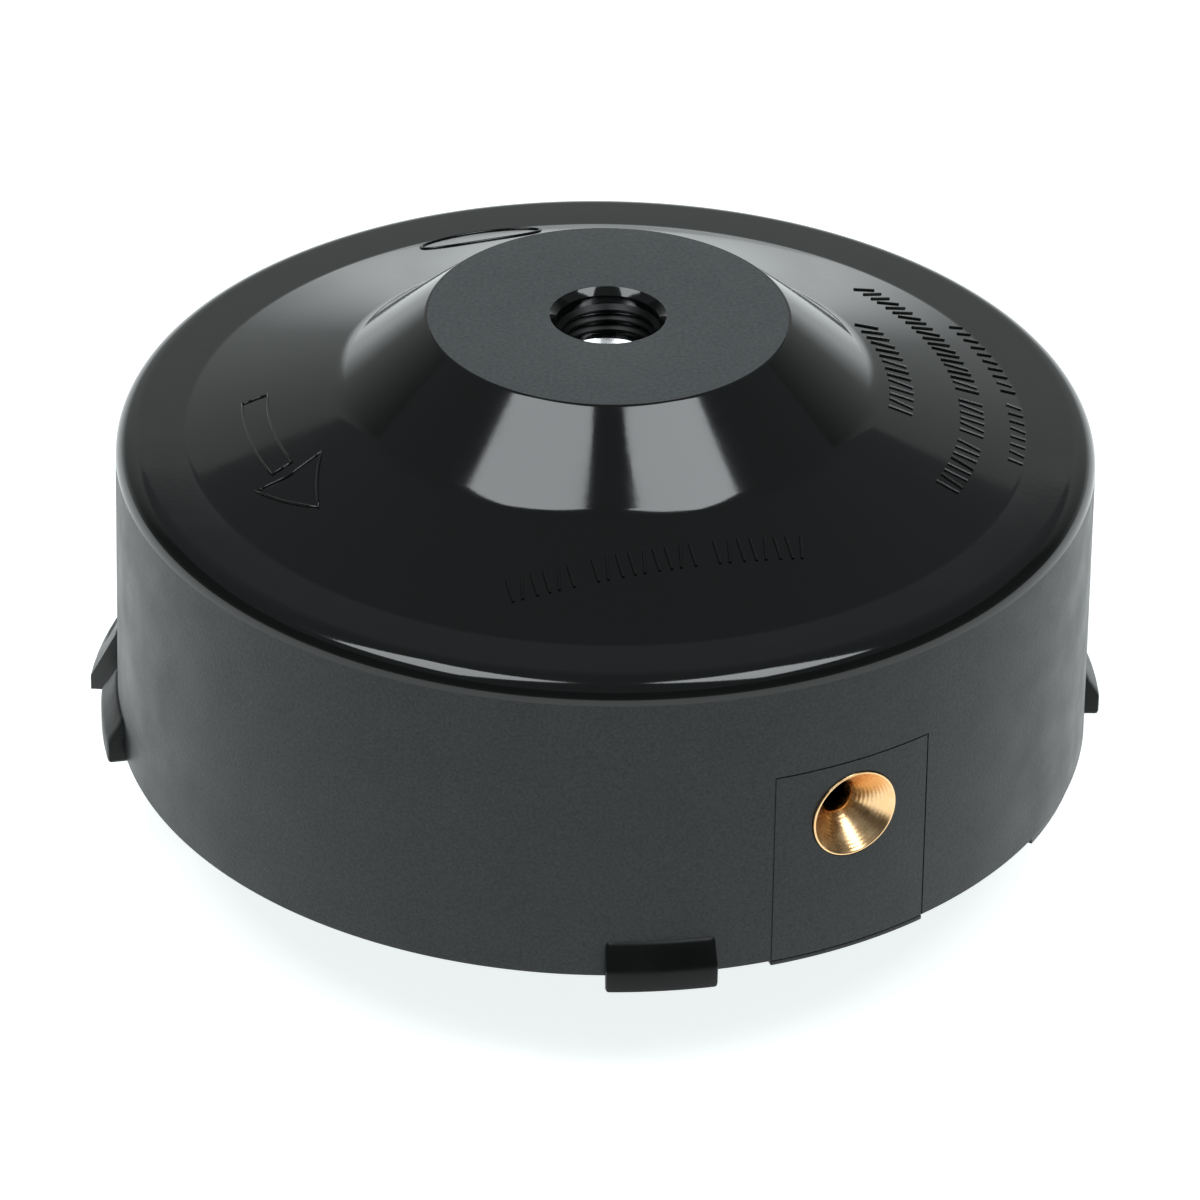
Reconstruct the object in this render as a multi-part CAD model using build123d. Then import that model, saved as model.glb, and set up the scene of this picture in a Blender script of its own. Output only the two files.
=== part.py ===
from build123d import *

import os
from math import atan2, cos, degrees, hypot, radians

# Bump-feed line head of a string trimmer. Millimetres, +Z up. The origin is the centre of the
# hub's seating face, where the gearbox shaft enters, so the whole head hangs below Z = 0.
# A bearing is an angle in degrees about Z, counted from the front (-Y) towards the right (+X).

# ---------------------------------------------------------------- case (upper housing)
case_diameter = 110.0  # across the wall, just under the shoulder
wall_draft = 0.4  # the wall's radius grows this much down to its lower edge
wall_thickness = 2.6
wall_height = 34.3  # lower edge to the start of the shoulder
shoulder_radius = 2.7
ring_width = 5.2  # flat ring inside the shoulder
deck_rise = 5.8  # shallow cone, ring up to the foot of the hub cone
cone_foot_radius = 30.0
hub_rise = 8.3  # steep cone, foot up to the seating face
hub_radius = 20.3
roof_thickness = 2.6
hub_plate = 5.0  # solid plastic under the seating face
foot_inset = 1.0  # the roof's underside turns this much inside the cone's foot
inner_chamfer = 1.0  # inside corner of wall and roof

pilot_radius = 5.8  # bore through the plastic above the nut
pilot_depth = 6.2
pilot_chamfer = 0.75
pilot_chamfer_depth = 1.1
guide_wall = 3.0  # central tube that the spool slides on
gusset_count = 6
gusset_width = 2.0
gusset_setback = 1.5  # gussets end this much inside the index lugs

# ---------------------------------------------------------------- outer lugs and cover fastening
lug_count = 4
lug_bearing = 7.0
lug_width = 13.0  # degrees
lug_reach = 2.3  # beyond the top of the wall
lug_drop = 1.0  # below the wall's edge
lug_face_top = 1.65
lug_top = 4.5
lug_bulge = 0.25  # the slope's ridge stands this much above a straight slope
lug_blend = 0.2  # the slope starts this much proud of the wall
lug_rounding = 0.5
ledge_depth = 1.7
ledge_bottom = 2.3  # above the wall's edge
ledge_height = 2.0
cover_twist = 15.0  # degrees from locked to open
tongue_slack = 1.0  # degrees between an open tongue and its ledge

# ---------------------------------------------------------------- line eyelets
eyelet_bearing = 30.0
eyelet_height = 16.7  # above the wall's edge
eyelet_mouth_radius = 5.1
eyelet_rim = 0.25
eyelet_body_radius = 4.2
eyelet_throat_radius = 1.7
eyelet_flare_depth = 3.6
eyelet_throat_length = 1.8
eyelet_flange = 1.1
eyelet_proud = 0.3
eyelet_seat_draft = 0.1  # the moulded seat opens this much towards the outside
boss_wall = 1.4  # plastic round the eyelet's mouth, inside the wall
boss_setback = 0.6  # the boss ends this much before the eyelet
panel_width = 20.0  # degrees, mould insert round the eyelet
panel_height = 23.6
panel_drop = 0.5
panel_lip_depth = 0.3  # the lip under the insert is thinner than the wall by this
panel_line = 0.3
panel_line_depth = 0.15

# ---------------------------------------------------------------- arbor nut, washers and spring
nut_across_flats = 19.0
nut_height = 14.0
nut_thread_radius = 4.38  # minor radius of M10 x 1.25, left hand
nut_chamfer = 0.7
washer_hole_radius = 6.5
washer_thickness = 1.5
seat_thickness = 0.8
spring_wire = 1.8
spring_turns = 5.5

# ---------------------------------------------------------------- spool
bump_travel = 5.0
flange_thickness = 2.0
spool_base = 4.0  # underside of the lower flange, above the wall's edge
divider_thickness = 1.2
core_wall = 5.25
floor_thickness = 2.4
boss_radius = 6.0
boss_height = 5.0
line_notch = 2.8
line_notch_depth = 5.0
line_hole_radius = 1.6
line_hole_turn = 40.0  # degrees from a notch to its anchor holes

# ---------------------------------------------------------------- index lugs
index_count = 4
index_width = 8.0  # degrees, every index lug
index_inner_radius = 28.0
index_outer_radius = 34.0
lower_stop_gap = 20.0  # degrees of free play to the cover's lug
upper_stop_gap = 45.0  # degrees of free play to the case's lug
top_lug_height = 4.0
top_lug_gap = 1.0  # spool's upper lugs to the case's lugs, with the knob out

# ---------------------------------------------------------------- cover and bump knob
cover_thickness = 2.7
cover_drop = 1.3  # underside, below the wall's edge
skirt_thickness = 1.8
collar_thickness = 2.4
collar_depth = 3.7
rib_count = 12
rib_width = 2.0
rib_height = 1.0
vent_count = 6
vent_radius = 3.5
grip_bearing = -99.3
grip_width = 12.4  # degrees
grip_reach = 3.96  # beyond the top of the wall
grip_face_top = 0.5
grip_top = 6.2
grip_lip = 0.3  # flat top of the grip lug, next to the wall
scoop_radius = 6.0
scoop_depth = 0.5
strip_bearing = 74.5
strip_width = 25.0  # degrees
strip_inset = 0.1

knob_radius = 22.8
knob_drop = 14.0  # tip of the knob, below the wall's edge
knob_round = 4.5
knob_fillet = 2.5
knob_wall = 3.0
knob_floor = 3.2
flute_count = 8
flute_radius = 5.0
flute_depth = 2.2
flute_height = 7.0
post_radius = 6.5
recess_radius = 7.5
recess_depth = 4.4
screw_radius = 2.5
screw_head_radius = 4.6
screw_head_height = 2.6
screw_head_rounding = 1.2
screw_bite = 1.5  # the screw ends this much under the boss's top
screw_washer_radius = 6.2
screw_washer_thickness = 1.0
drive_width = 1.0
drive_length = 5.2
drive_depth = 1.5

# ---------------------------------------------------------------- fits
moulded_gap = 0.05  # insert held in the plastic round it
running_gap = 0.25  # spool on the guide tube
free_gap = 0.3  # parts that pass each other
collar_gap = 0.4  # bump knob in the cover's collar
spool_side_gap = 1.1  # spool flanges to the cover's skirt
spool_top_gap = 1.4  # spool to the roof, with the knob pushed in
nut_entry_gap = 0.53  # corners of the nut in the tube that it goes up through
spring_side_gap = 0.9  # spring in the tube
spring_gap = 0.12
thread_gap = 0.02

# ---------------------------------------------------------------- joining and cutting
overlap = 0.5  # joined shapes reach this much into each other
through = 1.0  # cuts run this much past the surface

# ---------------------------------------------------------------- derived places
case_radius = case_diameter / 2
edge_radius = case_radius + wall_draft
wall_bore = case_radius - wall_thickness
case_height = wall_height + shoulder_radius + deck_rise + hub_rise
edge_z = -case_height
shoulder_z = edge_z + wall_height
crest_z = shoulder_z + shoulder_radius
crest_radius = case_radius - shoulder_radius
ring_radius = crest_radius - ring_width
foot_z = crest_z + deck_rise
roof_z = crest_z - roof_thickness

guide_bore = nut_across_flats / 2 / cos(radians(30)) + nut_entry_gap
guide_radius = guide_bore + guide_wall
spring_mean_radius = guide_bore - spring_side_gap - spring_wire / 2
core_radius = guide_radius + running_gap + core_wall

nut_top = -pilot_depth
nut_bottom = nut_top - nut_height
washer_bottom = nut_bottom - washer_thickness
flange_z = edge_z + spool_base
floor_z = flange_z + floor_thickness
seat_top = floor_z + seat_thickness
guide_end = seat_top + bump_travel + 2 * free_gap
winding_z = flange_z + flange_thickness
spool_top = roof_z - bump_travel - spool_top_gap
winding_height = spool_top - flange_thickness - winding_z
cover_bottom = edge_z - cover_drop
cover_top = cover_bottom + cover_thickness
collar_bore = knob_radius + collar_gap
skirt_radius = wall_bore - ledge_depth - free_gap
skirt_bore = skirt_radius - skirt_thickness
spool_flange_radius = skirt_bore - spool_side_gap
vent_circle = (index_outer_radius + skirt_bore) / 2
tongue_width = cover_twist - tongue_slack
tongue_bottom = edge_z + ledge_bottom + ledge_height + free_gap
tongue_top = tongue_bottom + ledge_height
knob_bottom = edge_z - knob_drop
eyelet_z = edge_z + eyelet_height


# ---------------------------------------------------------------- helpers
def turned(bearing, shape):
    """Turn a shape built over +X until it stands at the bearing."""
    return Rot(0, 0, bearing - 90) * shape


def profile(points):
    """Face in the XZ plane through (radius, z) points."""
    return Plane.XZ * make_face(Polyline(*points, close=True))


def spun(points):
    """Full solid of revolution about Z."""
    return revolve(profile(points), axis=Axis.Z)


def ring(inner, outer, bottom, top):
    """Plain ring between two radii and two heights."""
    return spun([(inner, bottom), (outer, bottom), (outer, top), (inner, top)])


def sector(points, bearing, width):
    """Part of a solid of revolution, centred on the bearing."""
    return turned(bearing - width / 2, revolve(profile(points), axis=Axis.Z, revolution_arc=width))


def block(inner, outer, bottom, top, bearing, width):
    """Ring sector with a rectangular section."""
    corners = [(inner, bottom), (outer, bottom), (outer, top), (inner, top)]
    return sector(corners, bearing, width)


def around(count, first, make):
    """Join count shapes made at equal steps from the first bearing."""
    shapes = [make(first + index * 360 / count) for index in range(count)]
    return Part() + shapes


def wall_radius(z):
    """Outer radius of the drafted wall at a height."""
    return edge_radius - wall_draft * (z - edge_z) / wall_height


# ---------------------------------------------------------------- case
def lug(bearing):
    """Outer lug at the wall's edge: upright face, then a slope in two facets up to the wall."""
    root = case_radius - wall_thickness / 2
    tip = case_radius + lug_reach
    ridge = (wall_radius(edge_z) + tip) / 2 - lug_blend
    ridge_z = edge_z + (lug_face_top + lug_top) / 2 + lug_bulge
    points = [
        (root, edge_z - lug_drop),
        (tip, edge_z - lug_drop),
        (tip, edge_z + lug_face_top),
        (ridge, ridge_z),
        (wall_radius(edge_z + lug_top) + lug_blend, edge_z + lug_top),
        (root, edge_z + lug_top),
    ]
    solid = sector(points, bearing, lug_width)
    corners = solid.edges().filter_by(Axis.Z).group_by(lambda e: hypot(e.center().X, e.center().Y))[-1]
    return fillet(corners, lug_rounding)


def panel_groove(bearing):
    """Fine line that the mould insert leaves round an eyelet, on three sides."""
    top = edge_z + panel_height

    def strip(low, high, where, width):
        points = [
            (wall_radius(low) - panel_line_depth, low),
            (wall_radius(low) + through, low),
            (wall_radius(high) + through, high),
            (wall_radius(high) - panel_line_depth, high),
        ]
        return sector(points, where, width)

    line_angle = degrees(panel_line / case_radius)
    bottom = edge_z - 2 * panel_drop
    sides = [strip(bottom, top, bearing + side * panel_width / 2, line_angle) for side in (-1, 1)]
    return strip(top - panel_line, top, bearing, panel_width) + sides


def eyelet_seat(bearing):
    """Stepped hole for an eyelet, with draft: body through the wall and boss, flange sunk in the wall."""
    body_hole = eyelet_body_radius + moulded_gap
    flange_hole = eyelet_mouth_radius + eyelet_rim + moulded_gap
    step = case_radius + eyelet_proud - eyelet_flange - moulded_gap
    inner, outer = eyelet_inner_end() - through, edge_radius + through
    section = profile([(inner, 0), (inner, body_hole), (step, body_hole + eyelet_seat_draft),
                       (step, flange_hole), (outer, flange_hole + eyelet_seat_draft), (outer, 0)])
    return turned(bearing, Pos(0, 0, eyelet_z) * revolve(section, axis=Axis.X))


def eyelet_boss(bearing):
    """Thicker wall behind the eyelet, so that the brass body has something to sit in."""
    inner = eyelet_inner_end() + boss_setback
    outer = wall_bore + overlap
    boss = Rot(0, 90, 0) * Cylinder(eyelet_mouth_radius + boss_wall, outer - inner)
    return turned(bearing, Pos((outer + inner) / 2, 0, eyelet_z) * boss)


def eyelet_inner_end():
    """Radius at which the eyelet ends inside the case."""
    return case_radius + eyelet_proud - eyelet_flare_depth - eyelet_throat_length


def roof_under(radius):
    """Height of the roof's underside on the steep cone."""
    foot_radius = cone_foot_radius - foot_inset
    run = foot_radius - (hub_radius - roof_thickness)
    rise = -hub_plate - (foot_z - roof_thickness)
    return foot_z - roof_thickness + rise * (foot_radius - radius) / run


def case_shell():
    """Wall, shoulder, ring, deck, hub, central tube and bore, all in one section."""
    line = Polyline(
        (case_radius, shoulder_z),
        (edge_radius, edge_z),
        (wall_bore, edge_z),
        (wall_bore, roof_z - inner_chamfer),
        (wall_bore - inner_chamfer, roof_z),
        (ring_radius, roof_z),
        (cone_foot_radius - foot_inset, foot_z - roof_thickness),
        (hub_radius - roof_thickness, -hub_plate),
        (guide_radius, -hub_plate),
        (guide_radius, guide_end),
        (guide_bore, guide_end),
        (guide_bore, nut_bottom),
        (pilot_radius, nut_bottom),
        (pilot_radius, -pilot_chamfer_depth),
        (pilot_radius + pilot_chamfer, 0),
        (hub_radius, 0),
        (cone_foot_radius, foot_z),
        (ring_radius, crest_z),
        (crest_radius, crest_z),
    )
    shoulder = CenterArc((crest_radius, shoulder_z), shoulder_radius, 0, 90)
    return revolve(Plane.XZ * make_face([*line.edges(), shoulder]), axis=Axis.Z)


def gusset(bearing):
    """Web between the central tube and the hub cone."""
    low = spool_top + bump_travel + 2 * free_gap
    outer = index_inner_radius - gusset_setback
    web = profile([
        (guide_radius - overlap, low),
        (outer, low),
        (outer, roof_under(outer) + roof_thickness / 2),
        (hub_radius - roof_thickness, overlap - hub_plate),
        (guide_radius - overlap, overlap - hub_plate),
    ])
    return turned(bearing, extrude(web, gusset_width / 2, both=True))


def make_case():
    body = case_shell()
    body += around(gusset_count, 0, gusset)
    # index lugs under the roof
    lug_low = spool_top + top_lug_height + top_lug_gap
    lug_high = foot_z - roof_thickness / 2
    body += around(index_count, upper_stop_gap + index_width, lambda bearing: block(
        index_inner_radius, index_outer_radius, lug_low, lug_high, bearing, index_width))
    # wall: outer lugs, ledges for the cover, eyelet bosses and the insert's lower lip
    body += around(lug_count, lug_bearing, lug)
    ledge_z = edge_z + ledge_bottom
    body += around(lug_count, lug_bearing, lambda bearing: block(
        wall_bore - ledge_depth, wall_bore + overlap, ledge_z, ledge_z + ledge_height, bearing, tongue_width))
    body += around(2, eyelet_bearing, eyelet_boss)
    body += around(2, eyelet_bearing, lambda bearing: block(
        wall_bore + panel_lip_depth, edge_radius, edge_z - panel_drop, edge_z, bearing, panel_width))
    # openings: nut pocket, eyelet seats and the insert's line
    pocket = extrude(RegularPolygon(nut_across_flats / 2 + moulded_gap, 6, major_radius=False),
                     nut_height + through)
    body -= Pos(0, 0, nut_bottom - through) * pocket
    for bearing in (eyelet_bearing, eyelet_bearing + 180):
        body -= eyelet_seat(bearing)
        body -= panel_groove(bearing)
    return body


# ---------------------------------------------------------------- eyelets
def make_eyelet(bearing):
    """Turned brass trumpet: outer flange, bell mouth, straight throat."""
    face = case_radius + eyelet_proud
    throat_start = face - eyelet_flare_depth
    inner_end = eyelet_inner_end()
    drop = eyelet_mouth_radius - eyelet_throat_radius
    lean = atan2(drop, eyelet_flare_depth)
    # a bell that starts along the bore and opens out to the mouth
    mid_x = throat_start + eyelet_flare_depth * cos(lean) * 0.62
    mid_r = eyelet_throat_radius + drop * (1 - cos(lean)) * 0.85
    bell = ThreePointArc((throat_start, eyelet_throat_radius), (mid_x, mid_r), (face, eyelet_mouth_radius))
    flange_radius = eyelet_mouth_radius + eyelet_rim
    rest = Polyline(
        (face, eyelet_mouth_radius),
        (face, flange_radius),
        (face - eyelet_flange, flange_radius),
        (face - eyelet_flange, eyelet_body_radius),
        (inner_end, eyelet_body_radius),
        (inner_end, eyelet_throat_radius),
        (throat_start, eyelet_throat_radius),
    )
    section = Plane.XZ * make_face([bell, *rest.edges()])
    return turned(bearing, Pos(0, 0, eyelet_z) * revolve(section, axis=Axis.X))


# ---------------------------------------------------------------- arbor nut, washers, spring
def make_nut():
    nut = extrude(RegularPolygon(nut_across_flats / 2, 6, major_radius=False), nut_height)
    nut = Pos(0, 0, nut_bottom) * nut
    nut -= ring(0, nut_thread_radius, nut_bottom - through, nut_top + through)
    mouths = nut.edges().filter_by(GeomType.CIRCLE)
    return chamfer(mouths, nut_chamfer)


def make_spring():
    length = washer_bottom - seat_top
    rise = length - spring_wire - 2 * spring_gap
    helix = Helix(rise / spring_turns, rise, spring_mean_radius)
    wire = Plane(origin=helix @ 0, z_dir=helix % 0) * Circle(spring_wire / 2)
    return Pos(0, 0, seat_top + spring_gap + spring_wire / 2) * sweep(wire, path=helix, is_frenet=True)


# ---------------------------------------------------------------- spool
def make_spool():
    bore = guide_radius + running_gap
    body = ring(bore, core_radius, floor_z - overlap, spool_top)
    body += ring(0, core_radius, flange_z, floor_z)
    body += ring(0, boss_radius, floor_z - overlap, floor_z + boss_height)
    middle = winding_z + winding_height / 2
    divider_z = middle - divider_thickness / 2
    for low, thickness in ((flange_z, flange_thickness), (divider_z, divider_thickness),
                           (spool_top - flange_thickness, flange_thickness)):
        body += ring(core_radius - overlap, spool_flange_radius, low, low + thickness)
    # notches that hold the line's ends, and the holes that anchor it
    notch = Pos(spool_flange_radius, 0, middle) * Box(2 * line_notch_depth, line_notch, 2 * winding_height)
    hole = Pos(core_radius, 0, 0) * Rot(0, 90, 0) * Cylinder(line_hole_radius, 3 * (core_radius - bore))
    quarter = (winding_height - divider_thickness) / 4
    for bearing in (eyelet_bearing, eyelet_bearing + 180):
        body -= turned(bearing, notch)
        for side in (-1, 1):
            level = middle + side * (divider_thickness / 2 + quarter)
            body -= turned(bearing + line_hole_turn, Pos(0, 0, level) * hole)
    # index lugs under the lower flange and on top of the upper one
    low = cover_top + free_gap
    body += around(index_count, 0, lambda bearing: block(
        index_inner_radius, index_outer_radius, low, flange_z + overlap, bearing, index_width))
    body += around(index_count, 0, lambda bearing: block(
        index_inner_radius, index_outer_radius, spool_top - overlap, spool_top + top_lug_height,
        bearing, index_width))
    screw_hole = ring(0, screw_radius + thread_gap, flange_z - through, screw_end() + overlap)
    return body - screw_hole


# ---------------------------------------------------------------- bump knob and its screw
def make_knob():
    top = flange_z
    body = spun([
        (0, knob_bottom),
        (knob_radius - knob_round, knob_bottom),
        (knob_radius, knob_bottom + knob_round),
        (knob_radius, top),
        (0, top),
    ])
    rims = [edge for edge in body.edges().filter_by(GeomType.CIRCLE)
            if edge.center().Z < knob_bottom + knob_round + overlap]
    body = fillet(rims, knob_fillet)
    flute_centre = knob_radius + flute_radius - flute_depth
    flute = Pos(flute_centre, 0, knob_bottom) * Cylinder(
        flute_radius, flute_height, align=(Align.CENTER, Align.CENTER, Align.MIN))
    flute_tip = Pos(flute_centre, 0, knob_bottom + flute_height) * Sphere(flute_radius)
    body -= around(flute_count, 0, lambda bearing: turned(bearing, flute + flute_tip))
    floor_top = knob_bottom + recess_depth + knob_floor
    body -= ring(post_radius, knob_radius - flute_depth - knob_wall, floor_top, top + through)
    body -= ring(0, recess_radius, knob_bottom - through, washer_top())
    return body - ring(0, screw_radius + free_gap, knob_bottom, top + through)


def washer_top():
    """Seat of the screw washer, the roof of the knob's recess."""
    return knob_bottom + recess_depth


def screw_end():
    """Tip of the screw, inside the spool's boss."""
    return floor_z + boss_height - screw_bite


def make_screw():
    head_top = washer_top() - screw_washer_thickness
    head = ring(0, screw_head_radius, head_top - screw_head_height, head_top)
    head = fillet(head.edges().sort_by(Axis.Z)[0], screw_head_rounding)
    shank = ring(0, screw_radius, head_top - overlap, screw_end())
    arm = Box(drive_length, drive_width, 2 * drive_depth)
    drive = Pos(0, 0, head_top - screw_head_height) * (arm + Rot(0, 0, 90) * arm)
    return head + shank - drive


# ---------------------------------------------------------------- cover
def make_cover():
    body = ring(collar_bore, wall_bore - free_gap, cover_bottom, cover_top)
    body += ring(collar_bore, collar_bore + collar_thickness, cover_bottom - collar_depth, cover_top)
    body += ring(skirt_bore, skirt_radius, cover_top - overlap, tongue_top)
    body += around(lug_count, lug_bearing, lambda bearing: block(
        skirt_radius - overlap, wall_bore - free_gap, tongue_bottom, tongue_top, bearing, tongue_width))
    # lower index lugs, on the far side of the spool's lugs as it turns
    body += around(index_count, lower_stop_gap + index_width, lambda bearing: block(
        index_inner_radius, index_outer_radius, cover_top - overlap, flange_z - free_gap,
        bearing, index_width))
    # ribs under the plate, and vents between them
    rib_inner = collar_bore + collar_thickness - overlap
    rib = Pos(rib_inner, 0, cover_bottom - rib_height) * Box(
        skirt_bore - rib_inner, rib_width, rib_height + overlap, align=(Align.MIN, Align.CENTER, Align.MIN))
    body += around(rib_count, 0, lambda bearing: turned(bearing, rib))
    vent = Pos(vent_circle, 0, cover_bottom) * Cylinder(vent_radius, 4 * cover_thickness)
    body -= around(vent_count, 180 / rib_count, lambda bearing: turned(bearing, vent))
    # strip that fills the space under the wall's edge, and the grip lug with its arm
    under_edge = edge_z - free_gap
    root = wall_bore - free_gap - overlap
    body += block(root, case_radius - strip_inset, cover_bottom, under_edge, strip_bearing, strip_width)
    return body + grip_lug(root, under_edge)


def grip_lug(root, under_edge):
    """Lug outside the wall that turns the cover, with a thumb scoop in its slope."""
    tip = case_radius + grip_reach
    inner = edge_radius + free_gap
    face_top = edge_z + grip_face_top
    top = edge_z + grip_top
    points = [(inner, cover_bottom), (tip, cover_bottom), (tip, face_top),
              (inner + grip_lip, top), (inner, top)]
    lug_solid = sector(points, grip_bearing, grip_width)
    slope_r, slope_z = (tip + inner) / 2, (face_top + top) / 2
    length = hypot(tip - inner, top - face_top)
    normal_r, normal_z = (top - face_top) / length, (tip - inner) / length
    offset = scoop_radius - scoop_depth
    scoop = Pos(slope_r + normal_r * offset, 0, slope_z + normal_z * offset) * Sphere(scoop_radius)
    lug_solid -= turned(grip_bearing, scoop)
    return lug_solid + block(root, tip, cover_bottom, under_edge, grip_bearing, grip_width)


# ---------------------------------------------------------------- write every node
nodes = {
    "case": make_case(),
    "arbor_nut": make_nut(),
    "eyelet_front": make_eyelet(eyelet_bearing),
    "eyelet_rear": make_eyelet(eyelet_bearing + 180),
    "nut_washer": ring(washer_hole_radius, guide_bore - free_gap, washer_bottom, nut_bottom),
    "feed_spring": make_spring(),
    "spring_seat": ring(boss_radius + free_gap, guide_radius, floor_z, seat_top),
    "spool": make_spool(),
    "bump_knob": make_knob(),
    "knob_screw": make_screw(),
    "screw_washer": ring(screw_radius + free_gap, screw_washer_radius,
                         washer_top() - screw_washer_thickness, washer_top()),
    "cover": make_cover(),
}

os.makedirs("parts", exist_ok=True)
for name, shape in nodes.items():
    export_step(shape, f"parts/{name}.step")
    print(name, len(shape.solids()), "solid(s)", round(shape.volume), "mm3")
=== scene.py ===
# %% [markdown]
# # A bump-feed line head for a string trimmer
#
# This head screws onto a trimmer's gearbox. A black moulded case holds a sprung spool of nylon line,
# the line leaves through two brass eyelets in the wall, and the knob underneath is tapped on the
# ground to let more line out. The CAD model has every piece that moves or fits. This lesson gives it
# its looks: one large glossy moulding, two bright turned eyelets, a thread deep in the hub, and the
# raised marks on the deck. We start by loading the CAD model, which stays where it is.

# %% Load the CAD model
from math import atan2, ceil, cos, degrees, hypot, pi, radians, sin, tan

import bmesh
import bpy
from mathutils import Matrix, Vector


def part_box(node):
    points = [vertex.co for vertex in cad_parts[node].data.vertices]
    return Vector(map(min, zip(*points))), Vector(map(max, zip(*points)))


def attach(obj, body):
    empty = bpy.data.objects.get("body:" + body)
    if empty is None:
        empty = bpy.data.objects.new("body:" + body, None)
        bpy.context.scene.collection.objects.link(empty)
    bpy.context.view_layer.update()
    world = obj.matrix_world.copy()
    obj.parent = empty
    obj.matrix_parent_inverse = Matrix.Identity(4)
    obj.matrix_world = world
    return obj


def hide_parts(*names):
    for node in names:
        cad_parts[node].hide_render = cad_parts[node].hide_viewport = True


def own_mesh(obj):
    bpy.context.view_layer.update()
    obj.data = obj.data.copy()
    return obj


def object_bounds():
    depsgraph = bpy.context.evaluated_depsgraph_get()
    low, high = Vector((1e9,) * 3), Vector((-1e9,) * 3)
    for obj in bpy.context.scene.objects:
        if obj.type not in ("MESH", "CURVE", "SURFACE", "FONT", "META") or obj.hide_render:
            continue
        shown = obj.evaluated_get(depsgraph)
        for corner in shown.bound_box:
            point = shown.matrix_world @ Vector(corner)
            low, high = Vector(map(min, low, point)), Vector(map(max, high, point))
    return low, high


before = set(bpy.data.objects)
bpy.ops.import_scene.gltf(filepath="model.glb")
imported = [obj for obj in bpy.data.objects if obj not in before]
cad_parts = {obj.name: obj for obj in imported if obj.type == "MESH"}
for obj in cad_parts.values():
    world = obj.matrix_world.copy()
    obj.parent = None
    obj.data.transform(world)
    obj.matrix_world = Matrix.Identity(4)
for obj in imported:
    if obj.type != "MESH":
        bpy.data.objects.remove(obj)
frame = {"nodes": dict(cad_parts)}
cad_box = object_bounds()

print("nodes:", ", ".join(frame["nodes"]))

# %% [markdown]
# ## Units and places
#
# Blender works in metres and the drawings of such a head are in millimetres, so sizes are written in
# millimetres and one factor converts them. The head is round, so a place is a radius, a bearing and
# a height. A bearing counts degrees from the front (-Y) towards the right (+X).

# %% Millimetres and bearings
MM = 0.001


def place(radius, bearing, height):
    """Point in metres at a radius, bearing and height in millimetres and degrees."""
    angle = radians(bearing)
    return Vector((radius * sin(angle), -radius * cos(angle), height)) * MM


def facing(bearing, height):
    """Turns a shape built round Z so that its top faces outwards at a bearing, at a height."""
    angle = radians(bearing)
    outward = Vector((sin(angle), -cos(angle), 0))
    sideways = Vector((cos(angle), sin(angle), 0))
    turn = Matrix((sideways, Vector((0, 0, 1)), outward)).transposed().to_4x4()
    return Matrix.Translation(Vector((0, 0, height * MM))) @ turn


case_low, case_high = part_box("case")
print("case spans", [round(v / MM, 1) for v in case_low], "to", [round(v / MM, 1) for v in case_high])

# %% [markdown]
# ## Camera
#
# The head is seen from a little over 30 degrees above, with a long lens close to 210 mm, so that the
# ellipse of the rim is hardly stretched. The camera looks along three unit axes, which are worked out
# from its elevation and three small turns away from the head's axis. The picture is shifted sideways
# by a hair.

# %% Camera
lens_mm = 213.2
sensor_mm = 36.0
side_shift = -0.0036  # part of the picture's width
camera_distance = 816.85
camera_elevation = 0.56318  # radians, as are the three turns
camera_yaw, camera_pitch, camera_roll = -0.000198, -0.014521, 0.018099
edge_height = -51.1  # lower edge of the case's wall, whose middle the camera circles

camera_offset = Vector((0, -cos(camera_elevation), sin(camera_elevation)))
forward = -camera_offset
right = forward.cross(Vector((0, 0, 1))).normalized()
up = right.cross(forward)
turn_to_view = Matrix((right, -up, forward))
yaw = Matrix.Rotation(-camera_yaw, 3, "Y")
pitch = Matrix.Rotation(-camera_pitch, 3, "X")
roll = Matrix.Rotation(-camera_roll, 3, "Z")
view_axes = roll.transposed() @ pitch.transposed() @ yaw.transposed() @ turn_to_view

camera_data = bpy.data.cameras.new("camera")
camera_data.lens = lens_mm
camera_data.sensor_width = sensor_mm
camera_data.shift_x = side_shift
camera_data.clip_start = 0.01
camera = bpy.data.objects.new("camera", camera_data)
bpy.context.scene.collection.objects.link(camera)
axes = Matrix((view_axes[0], -view_axes[1], -view_axes[2])).transposed()
camera_place = (camera_offset * camera_distance + Vector((0, 0, edge_height))) * MM
camera.matrix_world = Matrix.Translation(camera_place) @ axes.to_4x4()
bpy.context.scene.camera = camera
bpy.context.scene.view_settings.view_transform = "Standard"
print("camera at", [round(v, 3) for v in camera.matrix_world.translation])

# %% [markdown]
# ## A node helper
#
# A material is a small graph of nodes. Written out in full, each node takes several lines, so one
# helper adds a node of any kind, sets its properties and its plain values, and links what comes in.
# Colours are written the way a colour picker shows them, and a shader wants them linear.

# %% One function for every node
def linear(hex_colour):
    """sRGB hex, such as 0x1b1d1d, to the linear colour that a shader wants."""
    channels = [(hex_colour >> shift & 255) / 255 for shift in (16, 8, 0)]
    return (*[c / 12.92 if c <= 0.04045 else ((c + 0.055) / 1.055) ** 2.4 for c in channels], 1)


def add(tree, kind, links=None, values=None, **settings):
    """Adds a node. values are set on its inputs, and links join other nodes' outputs to its inputs."""
    node = tree.nodes.new("ShaderNode" + kind)
    for key, value in settings.items():
        setattr(node, key, value)
    for key, value in (values or {}).items():
        node.inputs[key].default_value = value
    for key, output in (links or {}).items():
        tree.links.new(output, node.inputs[key])
    return node


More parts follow.
